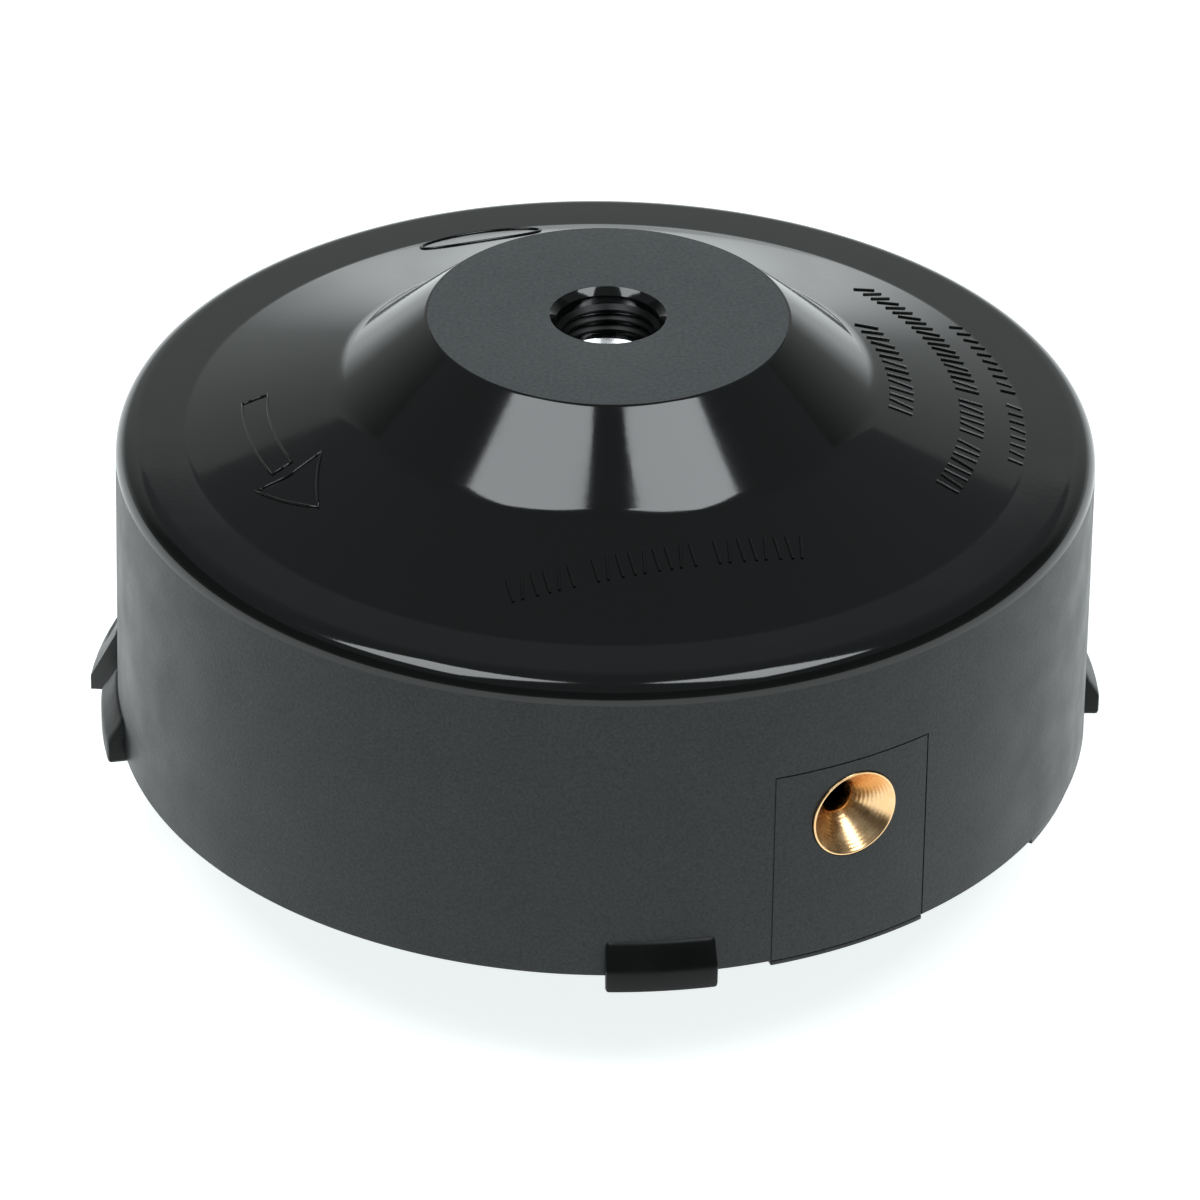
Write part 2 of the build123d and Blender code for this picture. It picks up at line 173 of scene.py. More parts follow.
def new_material(name, colour, metallic, roughness):
    """Material with a Principled shader. Returns it with its tree, shader and object coordinates."""
    material = bpy.data.materials.new(name)
    material.use_nodes = True
    tree = material.node_tree
    shader = tree.nodes["Principled BSDF"]
    shader.inputs["Base Color"].default_value = linear(colour)
    shader.inputs["Metallic"].default_value = metallic
    shader.inputs["Roughness"].default_value = roughness
    where = add(tree, "TexCoord").outputs["Object"]
    return material, tree, shader, where


print("middle grey is", round(linear(0x808080)[0], 3), "in linear light")

# %% [markdown]
# ## Floor and sweep
#
# Glossy black plastic shows almost nothing of its own colour. What the eye reads is the room mirrored
# in it, so the room is the real material here. Behind the head a pale sweep ends about 31 degrees up.
# It is brightest near the floor and behind the head, and fades upwards and towards the front. The back
# of the deck mirrors the sweep and turns pale, while the front of the deck mirrors the dim room above
# it and stays black.

# %% Floor and sweep
floor_height = cad_box[0][2] / MM
sweep_radius, sweep_height = 1300.0, 840.0
cool_white = (0.95, 1, 1, 1)


def room_surface(name, colour, strength):
    """Plain matt surface of the room with a glow of its own."""
    material, tree, shader, where = new_material(name, colour, 0.0, 0.9)
    shader.inputs["Specular IOR Level"].default_value = 0.0
    shader.inputs["Emission Color"].default_value = cool_white
    shader.inputs["Emission Strength"].default_value = strength
    return material, tree, shader, where


def object_from(bm, name):
    """Finished bmesh to an object at the origin."""
    mesh = bpy.data.meshes.new(name)
    bm.to_mesh(mesh)
    bm.free()
    thing = bpy.data.objects.new(name, mesh)
    bpy.context.scene.collection.objects.link(thing)
    return thing


def verts_of(geometry):
    """The vertices among what an operator returns."""
    return [part for part in geometry if isinstance(part, bmesh.types.BMVert)]


bm = bmesh.new()
bmesh.ops.create_circle(bm, cap_ends=True, segments=128, radius=sweep_radius * MM)
bmesh.ops.translate(bm, vec=(0, 0, floor_height * MM), verts=bm.verts)
floor = object_from(bm, "floor")
floor.data.materials.append(room_surface("pale floor", 0xD2D2D2, 0.85)[0])

bm = bmesh.new()
bmesh.ops.create_circle(bm, segments=128, radius=sweep_radius * MM)
bmesh.ops.translate(bm, vec=(0, 0, floor_height * MM), verts=bm.verts)
rim = bmesh.ops.extrude_edge_only(bm, edges=bm.edges)["geom"]
bmesh.ops.translate(bm, vec=(0, 0, sweep_height * MM), verts=verts_of(rim))
sweep = object_from(bm, "sweep")
sweep_material, tree, shader, where = room_surface("lit sweep", 0x303030, 0.5)
sweep.data.materials.append(sweep_material)
print("floor at", round(floor_height, 1), "mm, sweep up to", round(floor_height + sweep_height), "mm")

# %% The sweep's glow fades upwards and forwards
bright_up_to, even_above = 60.0, 260.0  # above the floor
low_glow, high_glow = 1.3, 0.55
dark_before, full_behind = 600.0, 1250.0  # behind the head's axis
front_share = 0.1

spot = add(tree, "SeparateXYZ", {"Vector": where}).outputs
up_fade = add(tree, "MapRange", {"Value": spot["Z"]}, {
    "From Min": (floor_height + bright_up_to) * MM, "From Max": (floor_height + even_above) * MM,
    "To Min": low_glow, "To Max": high_glow})
back_fade = add(tree, "MapRange", {"Value": spot["Y"]}, {
    "From Min": dark_before * MM, "From Max": full_behind * MM, "To Min": front_share, "To Max": 1.0})
glow = add(tree, "Math", {0: up_fade.outputs["Result"], 1: back_fade.outputs["Result"]}, operation="MULTIPLY")
tree.links.new(glow.outputs["Value"], shader.inputs["Emission Strength"])
print("sweep glows", low_glow, "low down and", high_glow, "higher up")

# %% [markdown]
# ## Soft boxes
#
# Two soft boxes hang in front of and above the head with a dark gap between them: each gives one
# bright patch on the hub cone and one streak on the shoulder. They are area lights, and their power is
# worked out from how bright they should look in a mirror.

# %% Soft boxes and a dim room
box_distance, box_height = 900.0, 440.0


def soft_box(name, direction, width, radiance):
    """Area light of a known brightness that faces the head."""
    light = bpy.data.lights.new(name, "AREA")
    light.shape = "RECTANGLE"
    light.size, light.size_y = width * MM, box_height * MM
    light.energy = radiance * pi * light.size * light.size_y
    light.color = (0.95, 1.0, 1.02)
    lamp = bpy.data.objects.new(name, light)
    aim = Vector(direction).normalized()
    lamp.rotation_euler = aim.to_track_quat("Z", "Y").to_euler()
    lamp.location = aim * box_distance * MM
    bpy.context.scene.collection.objects.link(lamp)
    return lamp


left_box = soft_box("left soft box", (-0.39, -0.25, 0.88), 440, 6.2)
right_box = soft_box("right soft box", (0.402, -0.245, 0.878), 380, 6.6)

world = bpy.data.worlds.new("dim room")
world.use_nodes = True
world.node_tree.nodes["Background"].inputs["Color"].default_value = linear(0x868A8C)
world.node_tree.nodes["Background"].inputs["Strength"].default_value = 0.8
bpy.context.scene.world = world
print("soft boxes:", round(left_box.data.energy, 1), "and", round(right_box.data.energy, 1), "W")

# %% [markdown]
# ## What surfaces have in common
#
# Three things make a plain surface look real: a shine that wanders a little, a fine relief, and a
# colour that isn't quite even. Each comes from a noise pattern, whose scale is worked out from the size
# of its blotches in millimetres.

# %% Shine, relief and speckle
blotch_low, blotch_high = 0.3, 0.7  # most of a noise pattern lies between these


def uneven_shine(tree, shader, where, size_mm, detail, low, high):
    """Roughness that wanders between two values."""
    blotches = add(tree, "TexNoise", {"Vector": where}, {"Scale": 1 / (size_mm * MM), "Detail": detail})
    spread = add(tree, "MapRange", {"Value": blotches.outputs["Fac"]}, {
        "From Min": blotch_low, "From Max": blotch_high, "To Min": low, "To Max": high})
    tree.links.new(spread.outputs["Result"], shader.inputs["Roughness"])


def fine_relief(tree, shader, where, size_mm, detail, depth_mm, strength=1.0, below=None):
    """Bump of a real depth, on top of another one if there is one. Returns its normal."""
    pips = add(tree, "TexNoise", {"Vector": where}, {"Scale": 1 / (size_mm * MM), "Detail": detail})
    links = {"Height": pips.outputs["Fac"]}
    if below:
        links["Normal"] = below
    relief = add(tree, "Bump", links, {"Strength": strength, "Distance": depth_mm * MM})
    tree.links.new(relief.outputs["Normal"], shader.inputs["Normal"])
    return relief.outputs["Normal"]


def speckle(tree, shader, where, size_mm, dark, light):
    """Colour that wanders between two tones in small blotches, as eroded plastic does."""
    specks = add(tree, "TexNoise", {"Vector": where}, {"Scale": 1 / (size_mm * MM), "Detail": 5.0})
    share = add(tree, "MapRange", {"Value": specks.outputs["Fac"]}, {
        "From Min": blotch_low, "From Max": blotch_high, "To Min": 0.0, "To Max": 1.0})
    tone = add(tree, "Mix", {"Factor": share.outputs["Result"]},
               {"A": linear(dark), "B": linear(light)}, data_type="RGBA")
    tree.links.new(tone.outputs["Result"], shader.inputs["Base Color"])


print("surface helpers ready")

# %% [markdown]
# ## Moulded plastics
#
# The case is injection-moulded black nylon. The upper half of its mould is polished, so the deck, the
# hub cone and the shoulder come out like dark glass, with the faint long waves that a moulding keeps
# as it cools. The wall comes out of a spark-eroded mould face, whose fine grain spreads the light, and
# the hub's seat is the same face in a paler colour, which is painted sheen for the backdrop's glancing
# reflection. The outer lugs are satin and almost black. So one moulding takes four finishes. The grain
# of a real spark-eroded face is near 0.1 mm, and it is drawn at 0.3 to 0.45 mm here so that it shows
# at all.

# %% Black plastics
nylon_ior = 1.5
eroded_grain = 0.35


def moulded_nylon_polished():
    """Polished mould face: sharp reflections, faint sink waves, a little dust haze."""
    material, tree, shader, where = new_material("black nylon, polished mould", 0x0C0D0D, 0.0, 0.07)
    shader.inputs["IOR"].default_value = nylon_ior
    uneven_shine(tree, shader, where, 9.0, 6.0, 0.055, 0.115)
    waves = fine_relief(tree, shader, where, 14.0, 1.0, 0.03)
    fine_relief(tree, shader, where, 0.8, 3.0, 0.0022, below=waves)
    return material


def moulded_nylon_textured():
    """Spark-eroded mould face: fine even grain that catches light at a low angle."""
    material, tree, shader, where = new_material("black nylon, eroded mould", 0x131616, 0.0, 0.4)
    shader.inputs["IOR"].default_value = nylon_ior
    shader.inputs["Specular IOR Level"].default_value = 0.33
    speckle(tree, shader, where, 0.3, 0x070808, 0x232828)
    uneven_shine(tree, shader, where, 6.0, 5.0, 0.34, 0.44)
    fine_relief(tree, shader, where, eroded_grain, 4.0, 0.05, strength=0.6)
    return material


def seat_with_painted_sheen():
    """Hub seat: the eroded face, paler in colour as painted sheen of the backdrop's glancing reflection, and
    duller than the wall.
    """
    # the pale base colour and speckle tones are painted sheen, the backdrop's glancing reflection on the seat
    material, tree, shader, where = new_material("black nylon, seat with painted sheen", 0x404445, 0.0, 0.46)
    shader.inputs["IOR"].default_value = nylon_ior
    speckle(tree, shader, where, 0.45, 0x383B3C, 0x4B4F50)
    uneven_shine(tree, shader, where, 5.0, 5.0, 0.4, 0.52)
    fine_relief(tree, shader, where, eroded_grain, 4.0, 0.05, strength=0.6)
    return material


def moulded_satin(name, colour, roughness, grain_mm, gloss=0.5):
    """Plain satin moulding: soft even sheen with light scuffs."""
    material, tree, shader, where = new_material(name, colour, 0.0, roughness)
    shader.inputs["Specular IOR Level"].default_value = gloss
    uneven_shine(tree, shader, where, 7.0, 6.0, roughness - 0.06, roughness + 0.08)
    fine_relief(tree, shader, where, grain_mm, 3.0, 0.025, strength=0.45)
    return material


polished = moulded_nylon_polished()
textured = moulded_nylon_textured()
seat_painted_sheen = seat_with_painted_sheen()
lug_satin = moulded_satin("black nylon, satin lugs", 0x060707, 0.38, 0.6, gloss=0.2)
cover_satin = moulded_satin("black nylon, satin cover", 0x171919, 0.36, 0.5)
spool_satin = moulded_satin("grey-black acetal, spool", 0x26282A, 0.4, 0.5)
knob_satin = moulded_satin("black polyethylene, knob", 0x1A1B1C, 0.5, 0.9)
print("plastics:", polished.name, "/", textured.name, "/", seat_painted_sheen.name)

# %% [markdown]
# ## Metals
#
# The eyelets are turned from brass bar. Their mouth is nearly a straight cone, so it mirrors the room
# as bright and dark wedges, and the turning tool leaves fine rings across them. The rings are a wave of
# the distance from the eyelet's own axis, 0.3 mm apart where real ones are finer, so that they show.
# The nut and washers are zinc-plated steel, and the spring is drawn wire.

# %% Brass and steel
tool_pitch = 0.3


def turned_brass(name, bearing, height):
    """Turned brass: rings round the eyelet's axis, a warm colour with paler worn stretches."""
    material, tree, shader, where = new_material(name, 0xE0B878, 1.0, 0.2)
    # the Mapping node turns the object's coordinates until Z runs out along the eyelet
    to_axis = facing(bearing, height).inverted()
    local = add(tree, "Mapping", {"Vector": where}, {
        "Location": to_axis.translation, "Rotation": to_axis.to_euler()}).outputs["Vector"]
    split = add(tree, "SeparateXYZ", {"Vector": local}).outputs
    flat = add(tree, "CombineXYZ", {"X": split["X"], "Y": split["Y"]}).outputs["Vector"]
    radius = add(tree, "VectorMath", {"Vector": flat}, operation="LENGTH").outputs["Value"]
    turns = add(tree, "Math", {0: radius}, {1: 2 * pi / (tool_pitch * MM)}, operation="MULTIPLY")
    rings = add(tree, "Math", {0: turns.outputs["Value"]}, operation="SINE").outputs["Value"]
    relief = add(tree, "Bump", {"Height": rings}, {"Strength": 0.8, "Distance": 0.004 * MM})
    tree.links.new(relief.outputs["Normal"], shader.inputs["Normal"])
    worn = add(tree, "TexNoise", {"Vector": where}, {"Scale": 1 / (1.6 * MM), "Detail": 4.0})
    tint = add(tree, "Mix", {"Factor": worn.outputs["Fac"]},
               {"A": linear(0xE6B070), "B": linear(0xF6D9AE)}, data_type="RGBA")
    tree.links.new(tint.outputs["Result"], shader.inputs["Base Color"])
    uneven_shine(tree, shader, where, 1.6, 4.0, 0.2, 0.32)
    return material


def steel(name, colour, roughness, scratch_mm):
    """Steel with fine level scratches and a slightly blotchy plating."""
    material, tree, shader, where = new_material(name, colour, 1.0, roughness)
    uneven_shine(tree, shader, where, 2.5, 4.0, roughness - 0.06, roughness + 0.1)
    flattened = add(tree, "Mapping", {"Vector": where}, {"Scale": (1, 1, 6)}).outputs["Vector"]
    fine_relief(tree, shader, flattened, scratch_mm, 3.0, 0.006, strength=0.6)
    return material


nut_steel = steel("bright zinc on turned steel", 0xC9CACB, 0.24, 0.4)
zinc_steel = steel("bright zinc on pressed steel", 0xC4C6C8, 0.3, 0.6)
wire_steel = steel("drawn spring wire", 0xA3A5A7, 0.28, 0.3)
print("metals:", nut_steel.name, "/", zinc_steel.name, "/", wire_steel.name)

# %% [markdown]
# ## The case: one outline, spun once
#
# A case like this is a body of revolution, so it starts as one closed outline that is spun round the
# axis. Every corner of a moulding is slightly round, and it is the round corners that catch the light.
# So each point of the outline carries its own rounding radius, and an arc takes the corner's place.

# %% Sizes of the case
wall_radius = 55.0
edge_flare = 0.4
wall_thickness = 2.6
shoulder_rounding = 2.7
shoulder_height = edge_height + 34.3
crest_height = shoulder_height + shoulder_rounding
ring_width = 5.2
ring_radius = wall_radius - shoulder_rounding - ring_width
foot_radius = 30.0
foot_height = crest_height + 5.8
foot_inset = 1.0
hub_radius = 20.3
hub_plate = 5.0
bore_radius, bore_depth = 5.8, 6.2
bore_chamfer, bore_chamfer_depth = 0.75, 0.8
print("ring", ring_width, "mm wide, deck from", round(crest_height, 1), "to", round(foot_height, 1), "mm")

# %% Sizes that follow the CAD pieces inside
bump_travel = 5.0
travel_spare = 0.6
nut_entry_gap = 0.53
tube_wall = 3.0
nut_flats = (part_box("arbor_nut")[1].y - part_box("arbor_nut")[0].y) / MM
nut_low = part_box("arbor_nut")[0].z / MM
tube_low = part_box("spring_seat")[1].z / MM + bump_travel + travel_spare
tube_bore = nut_flats / 2 / cos(radians(30)) + nut_entry_gap
tube_radius = tube_bore + tube_wall
print("nut", round(nut_flats, 1), "mm across flats, tube", round(tube_radius, 1), "mm in radius")

# %% The case's outline
edge_rounding = 0.25
crease_rounding = 1.6
foot_rounding = 5.0
hub_rounding = 0.55
mouth_rounding = 0.12
tube_rounding = 0.4
plate_rounding = 1.0
roof_rounding = 3.0
corner_rounding = 1.4


def rounded(corners, step_angle=12):
    """Outline points from (radius, height, rounding) corners, with an arc at each rounded corner."""
    points = []
    for index, (x, y, rounding) in enumerate(corners):
        here = Vector((x, y))
        before = (Vector(corners[index - 1][:2]) - here).normalized()
        after = (Vector(corners[(index + 1) % len(corners)][:2]) - here).normalized()
        half = before.angle(after) / 2
        if rounding == 0 or half > radians(89):
            points.append(here)
            continue
        centre = here + (before + after).normalized() * (rounding / sin(half))
        start = here + before * (rounding / tan(half)) - centre
        sweep_angle = pi - 2 * half
        turn = 1 if before.cross(after) < 0 else -1
        steps = max(2, ceil(sweep_angle / radians(step_angle)))
        for step in range(steps + 1):
            angle = turn * sweep_angle * step / steps
            points.append(centre + Vector((start.x * cos(angle) - start.y * sin(angle),
                                           start.x * sin(angle) + start.y * cos(angle))))
    return points


case_outline = rounded([
    (wall_radius + edge_flare, edge_height, edge_rounding),
    (wall_radius, shoulder_height, 0),
    (wall_radius, crest_height, shoulder_rounding),
    (ring_radius, crest_height, crease_rounding),
    (foot_radius, foot_height, foot_rounding),
    (hub_radius, 0, hub_rounding),
    (bore_radius + bore_chamfer, 0, mouth_rounding),
    (bore_radius, -bore_chamfer_depth, mouth_rounding),
    (bore_radius, nut_low, 0),
    (tube_bore, nut_low, 0),
    (tube_bore, tube_low, tube_rounding),
    (tube_radius, tube_low, tube_rounding),
    (tube_radius, -hub_plate, plate_rounding),
    (hub_radius - wall_thickness, -hub_plate, plate_rounding),
    (foot_radius - foot_inset, foot_height - wall_thickness, roof_rounding),
    (ring_radius, crest_height - wall_thickness, plate_rounding),
    (wall_radius - wall_thickness, crest_height - wall_thickness, corner_rounding),
    (wall_radius - wall_thickness, edge_height, edge_rounding),
], step_angle=9)
print("case outline:", len(case_outline), "points")

# %% [markdown]
# ## Spinning
#
# Half the pieces here are round, so one helper spins any outline: all the way round for a closed
# solid, or through a few degrees for a lug. Points on the axis spin into copies of themselves, so
# doubles are merged, the loose edges left along the axis are deleted, and the normals are turned out.

# %% Spin an outline into a solid
def spun(points, segments, angle=2 * pi):
    """Bmesh of a closed outline in millimetres, spun round Z, starting over +X."""
    bm = bmesh.new()
    verts = [bm.verts.new((p[0] * MM, 0, p[1] * MM)) for p in points]
    full = angle == 2 * pi
    if full:
        geometry = verts + [bm.edges.new((a, b)) for a, b in zip(verts, verts[1:] + verts[:1])]
    else:
        geometry = [bm.faces.new(verts)]
        geometry += verts + list(geometry[0].edges)
    bmesh.ops.spin(bm, geom=geometry, cent=(0, 0, 0), axis=(0, 0, 1), angle=angle,
                   steps=segments, use_merge=full, use_duplicate=False)
    bmesh.ops.remove_doubles(bm, verts=bm.verts, dist=1e-7)
    on_axis = [e for e in bm.edges if not e.link_faces]
    bmesh.ops.delete(bm, geom=on_axis, context="EDGES")
    bmesh.ops.recalc_face_normals(bm, faces=bm.faces)
    return bm


def smooth(thing, sharp_angle=32):
    """Smooth shading, with edges kept crisp where two faces meet at more than the angle."""
    thing.data.shade_smooth()
    thing.data.set_sharp_from_angle(angle=radians(sharp_angle))
    thing.data.update()


case_bm = spun(case_outline, 288)
print("case shell:", len(case_bm.faces), "faces")

# %% [markdown]
# ## Holes in the case
#
# The nut sits in a hexagonal pocket, each eyelet in a stepped round seat, and a separate mould insert
# round each eyelet leaves a hair line in the wall on three sides. Each is cut by its own closed shape,
# one after the other: an exact boolean is quick on one clean cutter, but a cutter made of shapes that
# touch each other confuses it about what is inside.

# %% Sizes of the eyelet and its mould insert
eyelet_bearings = (30.0, 210.0)
eyelet_low, eyelet_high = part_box("eyelet_front")
eyelet_height = (eyelet_low.z + eyelet_high.z) / 2 / MM
eyelet_face = wall_radius + 0.3
flange_radius, flange_depth = 5.15, 1.1
body_radius, body_end = 4.2, 5.4
seat_gap, seat_draft = 0.05, 0.1
overrun = 1.0  # cutters run this much past the surface
insert_width = 20.0  # degrees
insert_top = edge_height + 23.6
insert_line, insert_depth = 0.17, 0.12
print("eyelets at", round(eyelet_height, 1), "mm, insert up to", round(insert_top, 1), "mm")

# %% Cutters
def turned_to(bm, bearing):
    """Turns what was built over +X until it stands at the bearing."""
    quarter_back = Matrix.Rotation(radians(bearing - 90), 3, "Z")
    bmesh.ops.rotate(bm, cent=(0, 0, 0), matrix=quarter_back, verts=bm.verts)
    return bm


def eyelet_cutter(bearing):
    """Stepped plug the shape of an eyelet's seat."""
    inner, outer = body_radius + seat_gap, flange_radius + seat_gap
    plug = spun([(0, -body_end - overrun), (inner, -body_end - overrun), (inner, -flange_depth - seat_gap),
                 (outer, -flange_depth - seat_gap), (outer + seat_draft, 2 * overrun), (0, 2 * overrun)], 64)
    bmesh.ops.translate(plug, vec=(0, 0, eyelet_face * MM), verts=plug.verts)
    bmesh.ops.transform(plug, matrix=facing(bearing, eyelet_height), verts=plug.verts)
    return plug


def wall_at(height):
    """Outer radius of the flared wall."""
    return wall_radius + edge_flare * (shoulder_height - height) / (shoulder_height - edge_height)


def insert_cutter(bearing, low, high, width):
    """Shallow strip along the wall, from low to high and so many degrees wide."""
    outline = [(wall_at(low) - insert_depth, low), (wall_at(low) + overrun, low),
               (wall_at(high) + overrun, high), (wall_at(high) - insert_depth, high)]
    steps = max(1, round(width))
    return turned_to(spun(outline, steps, radians(width)), bearing - width / 2)


def hexagon(across_flats, low, high):
    """Hexagonal prism with two flats facing the front and the back."""
    bm = bmesh.new()
    bmesh.ops.create_circle(bm, cap_ends=True, segments=6, radius=across_flats / 2 / cos(radians(30)) * MM)
    bmesh.ops.rotate(bm, matrix=Matrix.Rotation(radians(30), 3, "Z"), verts=bm.verts)
    raised = bmesh.ops.extrude_face_region(bm, geom=bm.faces)["geom"]
    bmesh.ops.translate(bm, vec=(0, 0, (high - low) * MM), verts=verts_of(raised))
    bmesh.ops.translate(bm, vec=(0, 0, low * MM), verts=bm.verts)
    return bm


line_angle = degrees(insert_line / wall_radius)
pocket = hexagon(nut_flats + 2 * seat_gap, nut_low - overrun, -bore_depth)
bmesh.ops.recalc_face_normals(pocket, faces=pocket.faces)
cutters = [pocket]
for bearing in eyelet_bearings:
    cutters.append(eyelet_cutter(bearing))
    cutters.append(insert_cutter(bearing, insert_top - insert_line, insert_top, insert_width + line_angle))
    for side in (-1, 1):
        cutters.append(insert_cutter(bearing + side * insert_width / 2, edge_height - overrun,
                                     insert_top - insert_line / 2, line_angle))
print("cutters:", len(cutters))

# %% Cut them out
def carve(thing, cutter):
    """Cuts one object out of another for good, and removes the cutter."""
    modifier = thing.modifiers.new("cut", "BOOLEAN")
    modifier.operation, modifier.solver, modifier.object = "DIFFERENCE", "EXACT", cutter
    graph = bpy.context.evaluated_depsgraph_get()
    done = bpy.data.meshes.new_from_object(thing.evaluated_get(graph))
    thing.modifiers.clear()
    old, thing.data = thing.data, done
    bpy.data.meshes.remove(old)
    bpy.data.objects.remove(cutter)


case = object_from(case_bm, "case_moulding")
for cutter_bm in cutters:
    carve(case, object_from(cutter_bm, "cutter"))
print("case after the cuts:", len(case.data.polygons), "faces")

# %% [markdown]
# ## What stands on the case
#
# Four small lugs stand out at the wall's edge, over the ledges that the cover's hooks grip. Inside are
# gussets, index lugs and a boss behind each eyelet. In the real mould they are one piece with the wall.
# Each is a short outline spun through a few degrees, bevelled, and sunk into the wall.

# %% Lugs, ledges, gussets and bosses
lug_bearings = (7.2, 97.2, 187.2, 277.2)
lug_width = 12.4  # degrees
lug_reach = 57.3
lug_bevel = 0.42
lug_drop, lug_face, lug_ridge, lug_top = 1.0, 1.65, 3.32, 4.5  # below and above the wall's edge
ledge_width = 14.0  # degrees
ledge_low, ledge_top = 2.3, 4.3
ledge_inner, ledge_outer = 4.3, 2.1  # inwards from the wall's face
small_bevel = 0.2


def part_ring(outline, bearing, width, edge_bevel, steps=10):
    """Sector of a spun outline with slightly rounded edges."""
    bm = turned_to(spun(outline, steps, radians(width)), bearing - width / 2)
    crisp = [e for e in bm.edges if e.calc_face_angle(0) > radians(20)]
    bmesh.ops.bevel(bm, geom=crisp, offset=edge_bevel * MM, offset_type="OFFSET", affect="EDGES",
                    segments=2, profile=0.5, material=-1, clamp_overlap=True)
    bmesh.ops.recalc_face_normals(bm, faces=bm.faces)
    return bm


def box_ring(inner, outer, low, high):
    """Rectangular outline."""
    return [(inner, low), (outer, low), (outer, high), (inner, high)]


def lug_outline():
    """Upright face, then two slopes that meet in a ridge."""
    root = wall_radius - wall_thickness / 2
    ridge = (wall_radius + edge_flare + lug_reach) / 2 - 0.2
    return [(root, edge_height - lug_drop), (lug_reach, edge_height - lug_drop),
            (lug_reach, edge_height + lug_face), (ridge, edge_height + lug_ridge),
            (wall_radius + 0.5, edge_height + lug_top), (root, edge_height + lug_top)]


def take_in(bm, other):
    """Adds another bmesh to this one."""
    mesh = bpy.data.meshes.new("part")
    other.to_mesh(mesh)
    other.free()
    bm.from_mesh(mesh)
    bpy.data.meshes.remove(mesh)


extras = bmesh.new()
for bearing in lug_bearings:
    take_in(extras, part_ring(lug_outline(), bearing, lug_width, lug_bevel))
    ledge = box_ring(wall_radius - ledge_inner, wall_radius - ledge_outer,
                     edge_height + ledge_low, edge_height + ledge_top)
    take_in(extras, part_ring(ledge, bearing, ledge_width, small_bevel))
print("lugs and ledges:", len(extras.faces), "faces")

# %% Gussets, index lugs, bosses and lips
gusset_count, gusset_thickness = 6, 2.0
gusset_root = tube_radius - 0.5
gusset_corners = [(gusset_root, -17.5), (26.5, -17.5), (26.5, -9.4), (17.7, -4.5), (gusset_root, -4.5)]
index_lugs, index_bearing, index_width = 4, 53, 8.0
index_inner, index_outer, index_low, index_top = 28, 34, -18.02, -9.6
boss_wall, boss_inner_end, boss_overlap = 1.15, 50.5, 0.4
lip_reach = 2.3  # inwards from the wall's face
lip_drop, lip_overlap, lip_bevel = 0.5, 0.05, 0.1


def gusset(bearing):
    """Web from the central tube to the hub cone."""
    bm = bmesh.new()
    near_side = -gusset_thickness / 2 * MM
    bm.faces.new([bm.verts.new((x * MM, near_side, z * MM)) for x, z in gusset_corners])
    side = bmesh.ops.extrude_face_region(bm, geom=bm.faces)["geom"]
    bmesh.ops.translate(bm, vec=(0, gusset_thickness * MM, 0), verts=verts_of(side))
    bmesh.ops.recalc_face_normals(bm, faces=bm.faces)
    return turned_to(bm, bearing)


def eyelet_boss(bearing):
    """Ring of plastic round the eyelet's body, inside the wall."""
    inner, outer = body_radius + seat_gap, flange_radius + boss_wall
    bm = spun(box_ring(inner, outer, boss_inner_end, wall_radius - wall_thickness + boss_overlap), 64)
    bmesh.ops.transform(bm, matrix=facing(bearing, eyelet_height), verts=bm.verts)
    return bm


for index in range(gusset_count):
    take_in(extras, gusset(index * 360 / gusset_count))
for index in range(index_lugs):
    index_lug = box_ring(index_inner, index_outer, index_low, index_top)
    take_in(extras, part_ring(index_lug, index_bearing + index * 90, index_width, small_bevel))
for bearing in eyelet_bearings:
    take_in(extras, eyelet_boss(bearing))
    lip = box_ring(wall_radius - lip_reach, wall_radius + edge_flare,
                   edge_height - lip_drop, edge_height + lip_overlap)
    take_in(extras, part_ring(lip, bearing, insert_width, lip_bevel, steps=20))
print("standing pieces:", len(extras.faces), "faces")

# %% [markdown]
# ## One case, four finishes
#
# The shell and what stands on it are one moulding, so they become one mesh. Which finish a face gets
# follows from where it lies: the deck and bore are polished, the seat is paler with painted sheen, the
# outer lugs are satin, and everything else keeps the eroded grain.

# %% Join them and give each face its finish
case_finishes = [polished, textured, seat_painted_sheen, lug_satin]

bm = bmesh.new()
bm.from_mesh(case.data)
take_in(bm, extras)
case.data.materials.clear()
for face in bm.faces:
    centre, facing_up = face.calc_center_median() / MM, face.normal.z
    spread = hypot(centre.x, centre.y)
    on_top = centre.z > shoulder_height - 0.05 and facing_up > 0.01 and spread > hub_radius - 0.4
    seat = centre.z > -0.01 and spread < hub_radius - 0.2
    on_lug = spread > wall_radius + 0.5 and centre.z < edge_height + 5
    in_bore = spread < bore_radius + bore_chamfer and centre.z < -0.01 and centre.z > -bore_depth
    # the seat's upward faces take the paler finish whose colour is painted sheen
    if seat and facing_up > 0.9:
        finish = seat_painted_sheen
    elif on_lug:
        finish = lug_satin
    elif on_top or in_bore:
        finish = polished
    else:
        finish = textured
    face.material_index = case_finishes.index(finish)
bm.to_mesh(case.data)
bm.free()
for finish in case_finishes:
    case.data.materials.append(finish)
smooth(case)
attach(case, "housing")
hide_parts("case")
print("case:", len(case.data.polygons), "faces")

# %% [markdown]
# ## The thread in the hub
#
# Looking down the bore you see a few turns of black thread and, at the bottom, the bright mouth of the
# steel nut. A thread is a small triangle that is spun round the axis and moved along it a little at
# every step. A trimmer's arbor has a left-hand thread, so going anticlockwise seen from above takes
# the thread down.

# %% Threads
thread_pitch = 1.25
steps_per_turn = 48
ridge_half = thread_pitch * 0.46
ridge_sunk = 0.15  # into the wall it stands on
pilot_crest, pilot_top = 5.25, -1.5


